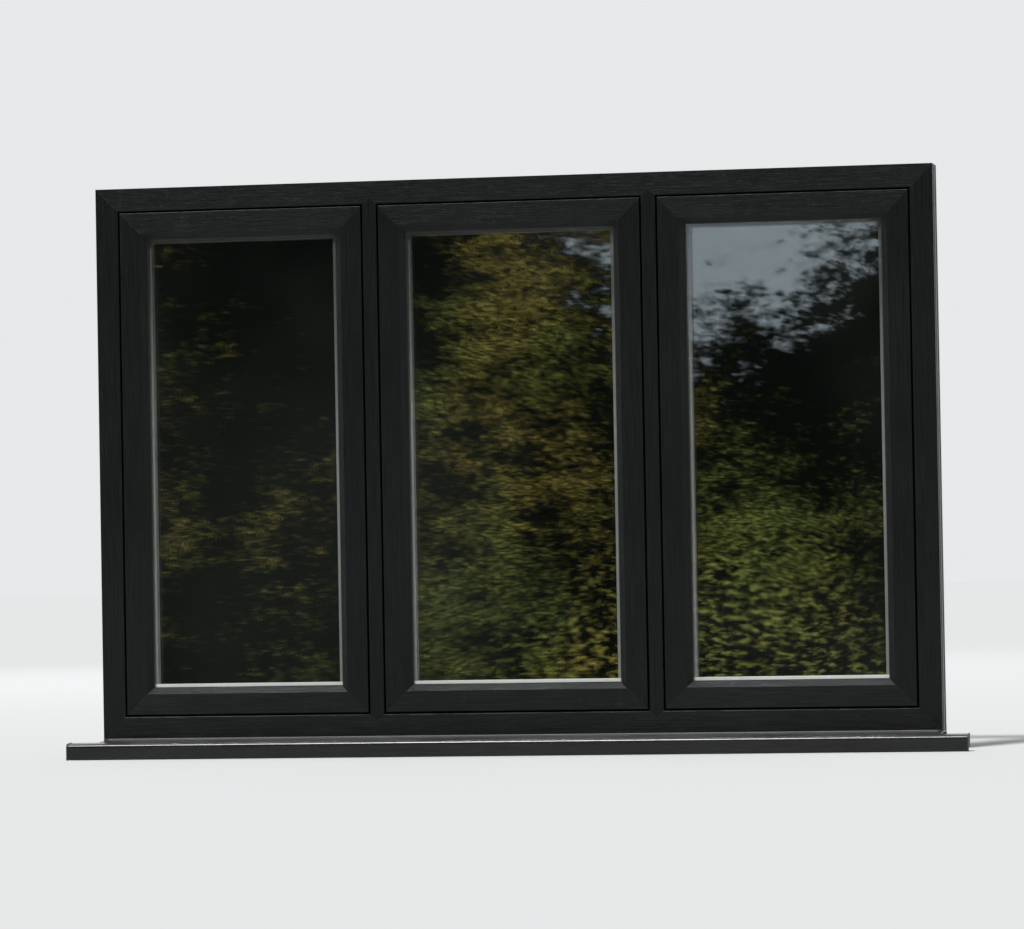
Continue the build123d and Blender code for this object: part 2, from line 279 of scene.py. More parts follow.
class SharedEffects:
    """Shader node groups that several finishes use, each built once."""

    def __init__(self) -> None:
        """Builds every group."""
        self.grain = self._grain()
        self.edges = self._edges()
        self.dust = self._dust()
        self.rain = self._rain()
        self.tone = self._tone()
        self.speckle = self._speckle()

    @staticmethod
    def _grain() -> Tree:
        """Long shallow fibres with short pores between them.

        Returns:
            The group, which puts out the height and the pores.
        """
        graph = EffectGraph("woodgrain_emboss", Vector=VECTOR, Depth=NUMBER)
        place = graph.given["Vector"]
        fibres = graph.noise(place, 1.0, 4.0, 0.62)
        bands = graph.noise(place, 0.16, 3.0, 0.55)
        pores = graph.ramp(graph.noise(place, 0.55, 2.0, 0.7), 0.58, 0.7)
        relief = graph.maths("MULTIPLY_ADD", bands, 1.6, fibres)
        relief = graph.maths("MULTIPLY_ADD", pores, -0.55, relief)
        height = graph.maths("MULTIPLY", relief, graph.given["Depth"])
        return graph.put_out(Height=height, Pores=pores)

    @staticmethod
    def _edges() -> Tree:
        """A small rounding of every edge, and where it lies.

        Returns:
            The group, which puts out the mask of the edges and the rounded normal.
        """
        graph = EffectGraph("arris_wear", Radius=NUMBER)
        rounded = graph.node("Bevel", {"Radius": graph.given["Radius"]}, samples=4).outputs[0]
        true_normal = graph.node("NewGeometry").outputs["Normal"]
        facing = graph.node("VectorMath", {0: rounded, 1: true_normal}, operation="DOT_PRODUCT")
        mask = graph.ramp(facing.outputs["Value"], 0.99, 0.86)
        return graph.put_out(Mask=mask, Normal=rounded)

    @staticmethod
    def _dust() -> Tree:
        """Dust that lies on what faces up, in uneven patches.

        Returns:
            The group, which puts out the dust's mask.
        """
        graph = EffectGraph("settled_dust", Vector=VECTOR, Amount=NUMBER)
        place = graph.given["Vector"]
        upward = graph.axis_parts(graph.node("NewGeometry").outputs["Normal"])[2]
        lying = graph.ramp(upward, 0.5, 0.97)
        patches = graph.ramp(graph.noise(place, 9.0, 6.0, 0.6), 0.3, 0.68, 0.25, 1.0)
        grit = graph.ramp(graph.noise(place, 620.0, 2.0, 0.7), 0.35, 0.7, 0.55, 1.0)
        mask = graph.maths("MULTIPLY", graph.maths("MULTIPLY", lying, patches), grit)
        mask = graph.maths("MULTIPLY", mask, graph.given["Amount"], clamp=True)
        return graph.put_out(Mask=mask)

    @staticmethod
    def _rain() -> Tree:
        """Faint upright runs and dried drops that rain leaves.

        Returns:
            The group, which puts out the marks' mask.
        """
        graph = EffectGraph("rain_marks", Vector=VECTOR, Amount=NUMBER)
        place = graph.given["Vector"]
        runs = graph.noise(graph.mapped((85.0, 85.0, 2.2), place), 1.0, 4.0, 0.6)
        broken = graph.ramp(graph.noise(place, 38.0, 3.0), 0.42, 0.62)
        runs = graph.maths("MULTIPLY", graph.ramp(runs, 0.56, 0.74), broken)
        spots = graph.node("TexVoronoi", {"Vector": place, "Scale": 95.0, "Randomness": 1.0})
        rings = graph.ramp(spots.outputs["Distance"], 0.16, 0.1)
        sparse = graph.ramp(graph.noise(place, 7.0, 2.0), 0.5, 0.66)
        drops = graph.maths("MULTIPLY", rings, sparse)
        mask = graph.maths("MULTIPLY_ADD", drops, 0.5, runs)
        mask = graph.maths("MULTIPLY", mask, graph.given["Amount"], clamp=True)
        return graph.put_out(Mask=mask)

    @staticmethod
    def _tone() -> Tree:
        """A slow lightening and darkening about 1.

        Returns:
            The group, which puts out the factor.
        """
        graph = EffectGraph("slow_tone", Vector=VECTOR, Spread=NUMBER)
        cloud = graph.noise(graph.given["Vector"], 3.3, 5.0, 0.55)
        offset = graph.maths("SUBTRACT", cloud, 0.5)
        factor = graph.maths("MULTIPLY_ADD", offset, graph.given["Spread"], 1.0)
        return graph.put_out(Factor=factor)

    @staticmethod
    def _speckle() -> Tree:
        """The fine even stipple of moulded plastic, rubber or blasted metal.

        Returns:
            The group, which puts out the height and the mask of the high spots.
        """
        graph = EffectGraph("fine_speckle", Vector=VECTOR, Size=NUMBER)
        scale = graph.maths("DIVIDE", 1.0, graph.given["Size"])
        stipple = graph.noise(graph.given["Vector"], scale, 2.0, 0.6)
        return graph.put_out(Height=stipple, Mask=graph.ramp(stipple, 0.35, 0.65))


@dataclass(frozen=True)
class FoilFinish:
    """Near-black grey foil, embossed with woodgrain, on extruded profile, its edges lightened by
    wear and by painted arris highlight.
    """

    name: str
    run: GrainRun
    dark: Colour = (0.0050, 0.0057, 0.0060)
    light: Colour = (0.0102, 0.0112, 0.0115)
    roughness: float = 0.36
    grain_depth: float = 0.00045
    dust: float = 0.1
    rain: float = 0.08
    # How much the edges are lightened: wear, and painted arris highlight.
    wear_and_highlight: float = 0.45
    specular: float = 0.2
    arris: float = 0.0009
    pore_colour: Colour = (0.006, 0.007, 0.0075)
    worn_and_highlight_colour: Colour = (0.075, 0.078, 0.08)
    dust_colour: Colour = (0.19, 0.19, 0.187)

    def build(self, effects: SharedEffects) -> Material:
        """Builds the material.

        Args:
            effects: The shared node groups.

        Returns:
            The finished material.
        """
        graph = MaterialGraph(self.name)
        place = graph.place()
        fibres = graph.mapped(self.run.value, place)
        grain = graph.group(effects.grain, Vector=fibres, Depth=self.grain_depth)
        edges = graph.group(effects.edges, Radius=self.arris)
        dust = graph.group(effects.dust, Vector=place, Amount=self.dust).outputs["Mask"]
        rain = graph.group(effects.rain, Vector=place, Amount=self.rain).outputs["Mask"]
        tone = graph.group(effects.tone, Vector=place, Spread=1.1).outputs["Factor"]
        streaks = graph.ramp(graph.noise(fibres, 0.22, 3.0, 0.6), 0.34, 0.66)
        colour = graph.blend(streaks, self.dark, self.light)
        pores = graph.maths("MULTIPLY", grain.outputs["Pores"], 0.4)
        colour = graph.scaled(graph.blend(pores, colour, self.pore_colour), tone)
        # Lightened edges: wear, and painted highlight along every arris.
        worn_and_highlight = graph.maths("MULTIPLY", edges.outputs["Mask"], self.wear_and_highlight)
        colour = graph.blend(worn_and_highlight, colour, self.worn_and_highlight_colour)
        colour = graph.blend(graph.maths("MULTIPLY", rain, 0.3), colour, self.dust_colour)
        colour = graph.blend(dust, colour, self.dust_colour)
        rough = graph.maths("MULTIPLY_ADD", grain.outputs["Pores"], 0.18, self.roughness)
        dull = graph.maths("MAXIMUM", rain, dust)
        shader = graph.node(
            "BsdfPrincipled",
            {
                "Base Color": colour,
                "Roughness": graph.maths("MULTIPLY_ADD", dull, 0.3, rough, clamp=True),
                "Specular IOR Level": self.specular,
                "Normal": graph.bump(grain.outputs["Height"], 1.0, 1.0, edges.outputs["Normal"]),
            },
        )
        return graph.show(shader.outputs[0])


@dataclass(frozen=True)
class GlassFinish:
    """Float glass with a faint wave, a rain-marked skin and a little wiping haze."""

    name: str
    tint: Colour
    haze: float = 0.01
    wave: float = 0.0005
    ior: float = 1.52

    def build(self, effects: SharedEffects) -> Material:
        """Builds the material, which lets lamps through to what stands behind it.

        Args:
            effects: The shared node groups.

        Returns:
            The finished material.
        """
        graph = MaterialGraph(self.name)
        place = graph.place()
        rain = graph.group(effects.rain, Vector=place, Amount=1.0).outputs["Mask"]
        wiped = graph.noise(graph.mapped((5.0, 1.0, 9.0), place), 1.0, 5.0, 0.6)
        skin = graph.maths("MULTIPLY_ADD", rain, 0.6, graph.ramp(wiped, 0.45, 0.72))
        wave = graph.noise(graph.mapped((2.6, 0.0, 1.7), place), 1.0, 1.0, 0.3)
        shader = graph.node(
            "BsdfPrincipled",
            {
                "Base Color": self.tint,
                "Roughness": graph.maths("MULTIPLY", skin, self.haze, clamp=True),
                "IOR": self.ior,
                "Transmission Weight": 1.0,
                "Normal": graph.bump(wave, self.wave),
            },
        )
        clear = graph.node("BsdfTransparent", {"Color": self.tint}).outputs[0]
        path = graph.node("LightPath").outputs
        lamps = graph.choose(path["Is Shadow Ray"], shader.outputs[0], clear)
        return graph.show(graph.choose(path["Is Diffuse Ray"], lamps, clear))


@dataclass(frozen=True)
class SpacerFinish:
    """Satin strip with small vents, with painted shade at the head and in the vents, and painted
    light on the bottom bar.
    """

    name: str
    colour: Colour = (0.76, 0.765, 0.75)
    # Brightness factors of the painted shade: on the uprights, and at the head.
    upright: float = 0.3
    head: float = 0.1
    bottom_bar: float = 0.1455
    top_bar: float = 1.0745
    middle_y: float = 0.03
    vent_pitch: float = 0.0025
    # The vents' dark colour is painted shade of the holes.
    vent_painted_shade: Colour = (0.05, 0.05, 0.05)

    def build(self, effects: SharedEffects) -> Material:
        """Builds the material.

        Args:
            effects: The shared node groups.

        Returns:
            The finished material.
        """
        graph = MaterialGraph(self.name)
        place = graph.place()
        x, y, z = graph.axis_parts(place)
        facing = graph.axis_parts(graph.node("NewGeometry").outputs["Normal"])
        on_rail = graph.maths("GREATER_THAN", graph.maths("ABSOLUTE", facing[2]), 0.5)
        along = graph.node("Mix", {0: on_rail, 2: z, 3: x}).outputs[0]
        wave = graph.maths("PINGPONG", along, self.vent_pitch / 2)
        near = graph.maths("DIVIDE", wave, self.vent_pitch / 2)
        off_middle = graph.maths("ABSOLUTE", graph.maths("SUBTRACT", y, self.middle_y))
        inner = graph.maths("LESS_THAN", graph.maths("ABSOLUTE", facing[1]), 0.5)
        row = graph.maths("MULTIPLY", graph.ramp(off_middle, 0.0016, 0.0008), inner)
        vent = graph.maths("MULTIPLY", graph.ramp(near, 0.45, 0.25), row)
        speckle = graph.group(effects.speckle, Vector=place, Size=0.0007)
        tone = graph.group(effects.tone, Vector=place, Spread=0.5).outputs["Factor"]
        # Painted light and shade: darkest at the head, mid on the uprights and palest on the bottom
        # bar, as if the light fell from above.
        half_way = (self.bottom_bar + self.top_bar) / 2
        pale = graph.ramp(z, self.top_bar, half_way, self.head, self.upright)
        pale = graph.ramp(z, self.bottom_bar + 0.001, self.bottom_bar, pale, 1.0)
        colour = graph.scaled(self.colour, graph.maths("MULTIPLY", tone, pale))
        height = graph.maths("MULTIPLY_ADD", vent, -2.0, speckle.outputs["Height"])
        shader = graph.node(
            "BsdfPrincipled",
            {
                "Base Color": graph.blend(vent, colour, self.vent_painted_shade),
                "Roughness": graph.maths("MULTIPLY_ADD", speckle.outputs["Mask"], 0.1, 0.5),
                "Metallic": 0.2,
                "Normal": graph.bump(height, 0.00015, 0.6),
            },
        )
        return graph.show(shader.outputs[0])


@dataclass(frozen=True)
class MouldedFinish:
    """Rubber, moulded plastic or sealant: one colour family with a fine stipple."""

    name: str
    colour: Colour
    roughness: float
    stipple: float
    size: float = 0.0006
    dust: float = 0.3
    arris: float = 0.0006
    dust_colour: Colour = (0.2, 0.19, 0.17)

    def build(self, effects: SharedEffects) -> Material:
        """Builds the material.

        Args:
            effects: The shared node groups.

        Returns:
            The finished material.
        """
        graph = MaterialGraph(self.name)
        place = graph.place()
        speckle = graph.group(effects.speckle, Vector=place, Size=self.size).outputs
        tone = graph.group(effects.tone, Vector=place, Spread=0.9).outputs["Factor"]
        dust = graph.group(effects.dust, Vector=place, Amount=self.dust).outputs["Mask"]
        edges = graph.group(effects.edges, Radius=self.arris).outputs
        # Paler edges: wear, and painted highlight along every arris.
        paler_worn_and_highlight = tuple(min(1.0, channel * 1.8 + 0.02) for channel in self.colour)
        worn_and_highlight = graph.maths("MULTIPLY", edges["Mask"], 0.4)
        colour = graph.blend(worn_and_highlight, graph.scaled(self.colour, tone), paler_worn_and_highlight)
        rough = graph.maths("MULTIPLY_ADD", speckle["Mask"], 0.12, self.roughness)
        shader = graph.node(
            "BsdfPrincipled",
            {
                "Base Color": graph.blend(dust, colour, self.dust_colour),
                "Roughness": graph.maths("MULTIPLY_ADD", dust, 0.3, rough, clamp=True),
                "Normal": graph.bump(speckle["Height"], self.stipple, 1.0, edges["Normal"]),
            },
        )
        return graph.show(shader.outputs[0])


@dataclass(frozen=True)
class BrushedFinish:
    """Satin metal, brushed along its length."""

    name: str
    colour: Colour = (0.56, 0.56, 0.57)
    roughness: float = 0.3
    brush_depth: float = 0.00004
    arris: float = 0.0006
    worn_and_highlight_colour: Colour = (0.78, 0.78, 0.79)

    def build(self, effects: SharedEffects) -> Material:
        """Builds the material.

        Args:
            effects: The shared node groups.

        Returns:
            The finished material.
        """
        graph = MaterialGraph(self.name)
        place = graph.place()
        lines = graph.noise(graph.mapped((5200.0, 5200.0, 60.0), place), 1.0, 3.0, 0.6)
        slow = graph.mapped((9.0, 9.0, 9.0), place)
        tone = graph.group(effects.tone, Vector=slow, Spread=0.35).outputs["Factor"]
        edges = graph.group(effects.edges, Radius=self.arris).outputs
        # Lighter edges: wear, and painted highlight along every arris.
        worn_and_highlight = graph.maths("MULTIPLY", edges["Mask"], 0.5)
        colour = graph.blend(worn_and_highlight, graph.scaled(self.colour, tone), self.worn_and_highlight_colour)
        smoothest, roughest = self.roughness - 0.07, self.roughness + 0.1
        shader = graph.node(
            "BsdfPrincipled",
            {
                "Base Color": colour,
                "Roughness": graph.ramp(lines, 0.3, 0.7, smoothest, roughest),
                "Metallic": 1.0,
                "Normal": graph.bump(lines, self.brush_depth, 0.7, edges["Normal"]),
            },
        )
        return graph.show(shader.outputs[0])


FINISHES = (
    FoilFinish("foil_across", GrainRun.ACROSS),
    # The standing lengths' foil is darker than the level lengths' foil: painted shade, as if the
    # light fell from above.
    FoilFinish(
        "foil_upright",
        GrainRun.UPRIGHT,
        dark=(0.0036, 0.0042, 0.0045),
        light=(0.0076, 0.0083, 0.0086),
    ),
    FoilFinish("bead_foil", GrainRun.UPRIGHT, grain_depth=0.0002),
    FoilFinish(
        "sill_foil",
        GrainRun.ACROSS,
        roughness=0.25,
        grain_depth=0.000025,
        dust=0.45,
        rain=0.06,
        specular=0.45,
    ),
    GlassFinish("outer_glass", (0.955, 0.972, 0.958)),
    GlassFinish("inner_glass", (0.965, 0.975, 0.966)),
    SpacerFinish("spacer_aluminium"),
    MouldedFinish("seal_rubber", (0.011, 0.011, 0.012), 0.62, 0.00004),
    MouldedFinish("lip_rubber", (0.016, 0.016, 0.017), 0.24, 0.00002, dust=0.2),
    MouldedFinish("sill_end_plastic", (0.017, 0.0185, 0.019), 0.5, 0.00008),
    MouldedFinish("joint_sealant", (0.014, 0.0145, 0.015), 0.4, 0.00006, size=0.004, dust=0.12),
    BrushedFinish("handle_metal"),
    BrushedFinish("screw_steel", (0.48, 0.48, 0.49), 0.36),
)


def dress(node: str, material: Material) -> None:
    """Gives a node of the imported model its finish.

    Args:
        node: The node's name.
        material: The material for all of it.
    """
    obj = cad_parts[node]
    if not obj.material_slots:
        obj.data.materials.append(material)
    for place in obj.material_slots:
        place.link = "OBJECT"
        place.material = material
    log.info("dressed %s with %s", node, material.name)


def put(name: str, data: bpy.types.ID) -> Object:
    """Puts a mesh, a lamp or a camera into the scene.

    Args:
        name: The object's name.
        data: What it shows.

    Returns:
        The object.
    """
    obj = bpy.data.objects.new(name, data)
    bpy.context.scene.collection.objects.link(obj)
    return obj


def put_mesh(name: str, mesh: Mesh, material: Material) -> Object:
    """Puts a finished mesh into the scene and frees it.

    Args:
        name: The object's name.
        mesh: Its geometry, in place, in metres.
        material: Its finish.

    Returns:
        The object.
    """
    data = bpy.data.meshes.new(name)
    mesh.to_mesh(data)
    mesh.free()
    data.materials.append(material)
    return put(name, data)


def add_piece(name: str, mesh: Mesh, material: Material, smooth: bool = True) -> Object:
    """Turns a finished mesh into a piece of the window.

    Args:
        name: The piece's name.
        mesh: Its geometry, in place, in metres.
        material: Its finish.
        smooth: Whether it is smooth-shaded.

    Returns:
        The object.
    """
    bmesh.ops.recalc_face_normals(mesh, faces=mesh.faces)
    obj = put_mesh(name, mesh, material)
    faces = obj.data.polygons
    faces.foreach_set("use_smooth", [smooth] * len(faces))
    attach(obj, BODY)
    log.info("added %s, %d faces", name, len(faces))
    return obj


def bridge(mesh: Mesh, rings: Sequence[Sequence[Vector]], ends: Ends = Ends.CAPPED) -> None:
    """Adds a skin over closed rings of equal length.

    Args:
        mesh: The mesh to add to.
        rings: The rings in order, each a list of points.
        ends: What happens at the first and last ring.
    """
    rows = [[mesh.verts.new(point) for point in ring] for ring in rings]
    followers = rows[1:] + (rows[:1] if ends is Ends.JOINED else [])
    for near, far in zip(rows, followers):
        for index in range(len(near)):
            after = (index + 1) % len(near)
            mesh.faces.new((near[index], near[after], far[after], far[index]))
    if ends is Ends.CAPPED:
        mesh.faces.new(rows[0])
        mesh.faces.new(list(reversed(rows[-1])))


def circle(centre: Vector, radius: float, y: float, count: int) -> list[Vector]:
    """A ring of points that faces the room.

    Args:
        centre: Its middle.
        radius: Its radius.
        y: How far back it lies.
        count: The number of points.

    Returns:
        The points.
    """
    ring = []
    for step in range(count):
        turn = 2 * math.pi * step / count
        x = centre.x + radius * math.cos(turn)
        ring.append(Vector((x, y, centre.z + radius * math.sin(turn))))
    return ring


def steady_noise(place: float, seed: float) -> float:
    """A smooth repeatable wobble between -1 and 1, for hand-tooled edges."""
    waves = ((0.5, 1.7, 1.0), (0.3, 2.9, 2.3), (0.2, 5.3, 0.7))
    return sum(size * math.sin(place * rate + seed * shift) for size, rate, shift in waves)


@dataclass
class SillJoint:
    """The tooled bead of sealant between the frame and the sill, its section in y and z."""

    half_run: float = 0.8845
    step: float = 0.012
    section: Pairs = (
        (0.00005, 0.0299),
        (0.00005, 0.0332),
        (-0.00045, 0.0320),
        (-0.0011, 0.0311),
        (-0.0021, 0.0303),
        (-0.0031, 0.0294),
        (-0.0042, 0.02836),
        (-0.00195, 0.0284),
    )
    tooled_points: range = range(2, 6)
    swell: float = 0.00022
    swell_slope: float = 0.7
    wobbles_per_metre: float = 26.0
    seed: float = 1.3

    def build(self, material: Material) -> Object:
        """Builds the bead along the whole frame.

        Args:
            material: The sealant.

        Returns:
            The piece.
        """
        mesh = bmesh.new()
        stations = round(2 * self.half_run / self.step)
        rings = []
        for station in range(stations + 1):
            x = -self.half_run + 2 * self.half_run * station / stations
            swell = self.swell * steady_noise(x * self.wobbles_per_metre, self.seed)
            ring = []
            for number, (y, z) in enumerate(self.section):
                out = swell * self.swell_slope if number in self.tooled_points else 0.0
                ring.append(Vector((x, y - out, z + out)))
            rings.append(ring)
        bridge(mesh, rings)
        return add_piece("sill_joint_sealant", mesh, material)


@dataclass
class SealLips:
    """The rounded rubber lips that press on the glass along the sightline, outside and inside."""

    light: str
    stand_out: float = 0.0011
    radius: float = 0.0013
    steps: int = 9
    edge_inset: float = 0.0096
    face_inset: float = 0.0015

    def build(self, material: Material) -> Object:
        """Builds both lips of one light, set into the box of its gasket.

        Args:
            material: The rubber.

        Returns:
            The piece.
        """
        mesh = bmesh.new()
        low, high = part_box(f"glazing_gasket_{self.light}")
        centre = (low + high) / 2
        half_x = (high.x - low.x) / 2 - self.edge_inset
        half_z = (high.z - low.z) / 2 - self.edge_inset
        for middle_y in (low.y + self.face_inset, high.y - self.face_inset):
            rings = []
            for sign_x, sign_z in ((-1, -1), (1, -1), (1, 1), (-1, 1)):
                ring = []
                for step in range(self.steps):
                    turn = math.pi * step / (self.steps - 1)
                    inset = self.stand_out * math.sin(turn)
                    x = centre.x + sign_x * (half_x - inset)
                    z = centre.z + sign_z * (half_z - inset)
                    ring.append(Vector((x, middle_y - self.radius * math.cos(turn), z)))
                rings.append(ring)
            bridge(mesh, rings, Ends.JOINED)
        return add_piece(f"seal_lips_{self.light}", mesh, material)


@dataclass(frozen=True)
class KeyBarrel:
    """The head of a key barrel: a rim round a sunk face with its keyway."""

    radius: float = 0.0054
    sunk: float = 0.0003
    rim_radius: float = 0.0043
    rim_height: float = 0.0022
    face_height: float = 0.0017
    keyway_half_width: float = 0.00062
    keyway_half_length: float = 0.0031
    keyway_depth: float = 0.0012

    def height(self, x: float, z: float) -> float:
        """Height of the face.

        Args:
            x: Place across.
            z: Place up.

        Returns:
            The height over its foot.
        """
        rim = self.rim_height if math.hypot(x, z) > self.rim_radius else self.face_height
        keyway = abs(x) < self.keyway_half_width and abs(z) < self.keyway_half_length
        return rim - (self.keyway_depth if keyway else 0.0)


@dataclass(frozen=True)
class ScrewHead:
    """The raised countersunk head of a screw with its cross recess."""

    radius: float = 0.0034
    sunk: float = 0.0002
    dome: float = 0.0011
    dome_reach: float = 1.15
    cross_half_width: float = 0.00042
    cross_half_length: float = 0.0019
    cross_depth: float = 0.0009

    def height(self, x: float, z: float) -> float:
        """Height of the head.

        Args:
            x: Place across.
            z: Place up.

        Returns:
            The height over its foot.
        """
        edge = math.hypot(x, z) / self.radius
        dome = self.dome * math.sqrt(max(0.0, self.dome_reach - edge * edge))
        near, far = sorted((abs(x), abs(z)))
        cross = near < self.cross_half_width and far < self.cross_half_length
        return dome - (self.cross_depth if cross else 0.0)


@dataclass
class EspagHandle:
    """The room-side handle of an opening light: long base, key barrel, screws and cranked lever.

    Boss rings are radius and height over the base's front, neck rings radius and y, and the
    crank's corners y and height over the pivot.
    """

    light: str
    face: float = 0.066
    base_half_width: float = 0.0099
    base_half_length: float = 0.0579
    base_depth: float = 0.0108
    base_rounding: float = 0.0034
    crown_inset: float = 0.0052
    crown_height: float = 0.0001
    corner_steps: int = 14
    rounding_steps: int = 8
    boss: Pairs = ((0.0094, -0.001), (0.0094, 0.0006), (0.0090, 0.0011), (0.0082, 0.0013))
    boss_points: int = 40
    barrel_rise: float = 0.036
    screw_rise: float = 0.0505
    head_points: int = 48
    head_parts: tuple[float, ...] = (
        1.0, 0.94, 0.84, 0.74, 0.64, 0.54, 0.45, 0.36, 0.28, 0.2, 0.12, 0.04,
    )
    neck: Pairs = (
        (0.0078, 0.0779), (0.0074, 0.0792), (0.0066, 0.0808), (0.0063, 0.0826), (0.0068, 0.0850),
    )
    neck_points: int = 32
    crank: Pairs = ((0.0865, 0.0040), (0.0865, -0.0080), (0.1005, -0.0439), (0.1005, -0.1088))
    crank_fillet: float = 0.0085
    lever_half_width: float = 0.0084
    lever_half_thickness: float = 0.0044
    lever_points: int = 28
    lever_squareness: tuple[float, float] = (0.55, 0.7)
    waist: float = 0.86
    waist_rise: float = 0.004
    waist_run: float = 0.07
    end_length: float = 0.0042
    end_parts: tuple[float, ...] = (0.0, 0.3, 0.6, 0.85)
    end_tip: float = 0.12

    def build(self, metal: Material, steel: Material) -> None:
        """Builds the base, the lever, the key barrel and the screws.

        Args:
            metal: The finish of base and lever.
            steel: The finish of the screws and the key barrel.
        """
        low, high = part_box(f"handle_base_{self.light}")
        pivot = Vector(((low.x + high.x) / 2, 0.0, (low.z + high.z) / 2))
        base = self._base(pivot, metal)
        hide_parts(f"handle_base_{self.light}")
        lever = self._lever(pivot, metal)
        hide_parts(f"handle_lever_{self.light}")
        self._heads("handle_key_barrel", KeyBarrel(), pivot, (self.barrel_rise,), steel)
        rises = (self.screw_rise, -self.screw_rise)
        self._heads("handle_screws", ScrewHead(), pivot, rises, steel)

    def _slot_outline(self, pivot: Vector, inset: float, y: float) -> list[Vector]:
        """One ring of the base's outline.

        Args:
            pivot: The handle's middle.
            inset: How far it is drawn in.
            y: How far back it lies.

        Returns:
            The ring's points.
        """
        radius = self.base_half_width - inset
        reach = self.base_half_length - self.base_half_width
        ring = []
        for end in (1, -1):
            for step in range(self.corner_steps + 1):
                turn = math.pi * step / self.corner_steps + (0.0 if end > 0 else math.pi)
                x = pivot.x + radius * math.cos(turn)
                z = pivot.z + end * reach + radius * math.sin(turn)
                ring.append(Vector((x, y, z)))
        return ring

    def _base(self, pivot: Vector, metal: Material) -> Object:
        """The long base: a slot-ended plate with softly rounded edges and a raised boss.

        Args:
            pivot: The handle's middle.
            metal: Its finish.

        Returns:
            The piece.
        """
        mesh = bmesh.new()
        front = self.face + self.base_depth
        rounding = self.base_rounding
        profile = [(0.0, self.face), (0.0, front - rounding)]
        for step in range(1, self.rounding_steps + 1):
            turn = math.pi / 2 * step / self.rounding_steps
            inset = rounding * (1 - math.cos(turn))
            profile.append((inset, front - rounding * (1 - math.sin(turn))))
        profile.append((self.crown_inset, front + self.crown_height))
        bridge(mesh, [self._slot_outline(pivot, inset, y) for inset, y in profile])
        boss = [circle(pivot, radius, front + rise, self.boss_points) for radius, rise in self.boss]
        bridge(mesh, boss)
        return add_piece(f"handle_backplate_{self.light}", mesh, metal)

    def _spine(self, pivot: Vector) -> list[tuple[Vector, Vector]]:
        """Stations along the lever's middle line, with the direction across its thickness.

        Args:
            pivot: The handle's middle.

        Returns:
            Pairs of a point and a unit vector.
        """
        corners = [Vector((0.0, y, pivot.z + z)) for y, z in self.crank]
        line = [corners[0]]
        for before, corner, after in zip(corners, corners[1:], corners[2:]):
            entry = corner + (before - corner).normalized() * self.crank_fillet
            leave = corner + (after - corner).normalized() * self.crank_fillet
            for step in range(self.rounding_steps + 1):
                part = step / self.rounding_steps
                line.append(entry.lerp(corner, part).lerp(corner.lerp(leave, part), part))
        bend = line[-1]
        line += [bend.lerp(corners[-1], part) for part in (0.25, 0.5, 0.75, 1.0)]
        stations = []
        for index, point in enumerate(line):
            ahead = line[min(index + 1, len(line) - 1)] - line[max(index - 1, 0)]
            across = Vector((0.0, -ahead.z, ahead.y)).normalized()
            stations.append((Vector((pivot.x, point.y, point.z)), across))
        return stations

    def _lever_ring(
        self, pivot: Vector, centre: Vector, across: Vector, shrink: float
    ) -> list[Vector]:
        """One soft-cornered ring round the lever.

        Args:
            pivot: The handle's middle.
            centre: The ring's middle.
            across: The direction across the lever's thickness.
            shrink: The ring's size, 1 along the lever and less towards its ends.

        Returns:
            The ring's points.
        """
        from_waist = abs(centre.z - pivot.z - self.waist_rise) / self.waist_run
        waist = self.waist + (1 - self.waist) * min(1.0, from_waist)
        half_width = self.lever_half_width * waist * (0.25 + 0.75 * shrink)
        half_thickness = self.lever_half_thickness * shrink
        ring = []
        for step in range(self.lever_points):
            turn = 2 * math.pi * step / self.lever_points
            side, thick = (
                math.copysign(abs(reach) ** power, reach)
                for reach, power in zip((math.cos(turn), math.sin(turn)), self.lever_squareness)
            )
            sideways = Vector((half_width * side, 0.0, 0.0))
            ring.append(centre + sideways + across * (half_thickness * thick))
        return ring

    def _lever(self, pivot: Vector, metal: Material) -> Object:
        """The lever: a soft-edged bar swept along its cranked line, on a waisted neck.

        Args:
            pivot: The handle's middle.
            metal: Its finish.

        Returns:
            The piece.
        """
        mesh = bmesh.new()
        stations = self._spine(pivot)
        (first, first_across), (last, last_across) = stations[0], stations[-1]
        rise = Vector((0.0, 0.0, self.end_length))
        ends = [
            (part, math.sqrt(1 - (1 - part) ** 2) if part else self.end_tip)
            for part in self.end_parts
        ]
        sections = [(first + rise * (1 - part), first_across, shrink) for part, shrink in ends]
        sections += [(point, across, 1.0) for point, across in stations]
        ends.reverse()
        sections += [(last - rise * (1 - part), last_across, shrink) for part, shrink in ends]
        bridge(mesh, [self._lever_ring(pivot, *section) for section in sections])
        bridge(mesh, [circle(pivot, radius, y, self.neck_points) for radius, y in self.neck])
        return add_piece(f"handle_lever_bar_{self.light}", mesh, metal)

    def _heads(
        self,
        name: str,
        head: Union[KeyBarrel, ScrewHead],
        pivot: Vector,
        rises: Sequence[float],
        steel: Material,
    ) -> None:
        """Round heads that stand out of the base's front.

        Args:
            name: The piece's name without the light.
            head: The head's sizes and relief.
            pivot: The handle's middle.
            rises: How far over the pivot each head sits.
            steel: Their finish.
        """
        mesh = bmesh.new()
        back = self.face + self.base_depth - head.sunk
        for rise in rises:
            centre = pivot + Vector((0.0, 0.0, rise))
            rings = [circle(centre, head.radius, back, self.head_points)]
            for part in self.head_parts:
                ring = circle(centre, head.radius * part, back, self.head_points)
                for point in ring:
                    point.y = back + head.height(point.x - centre.x, point.z - centre.z)
                rings.append(ring)
            bridge(mesh, rings)
        add_piece(f"{name}_{self.light}", mesh, steel, smooth=False)


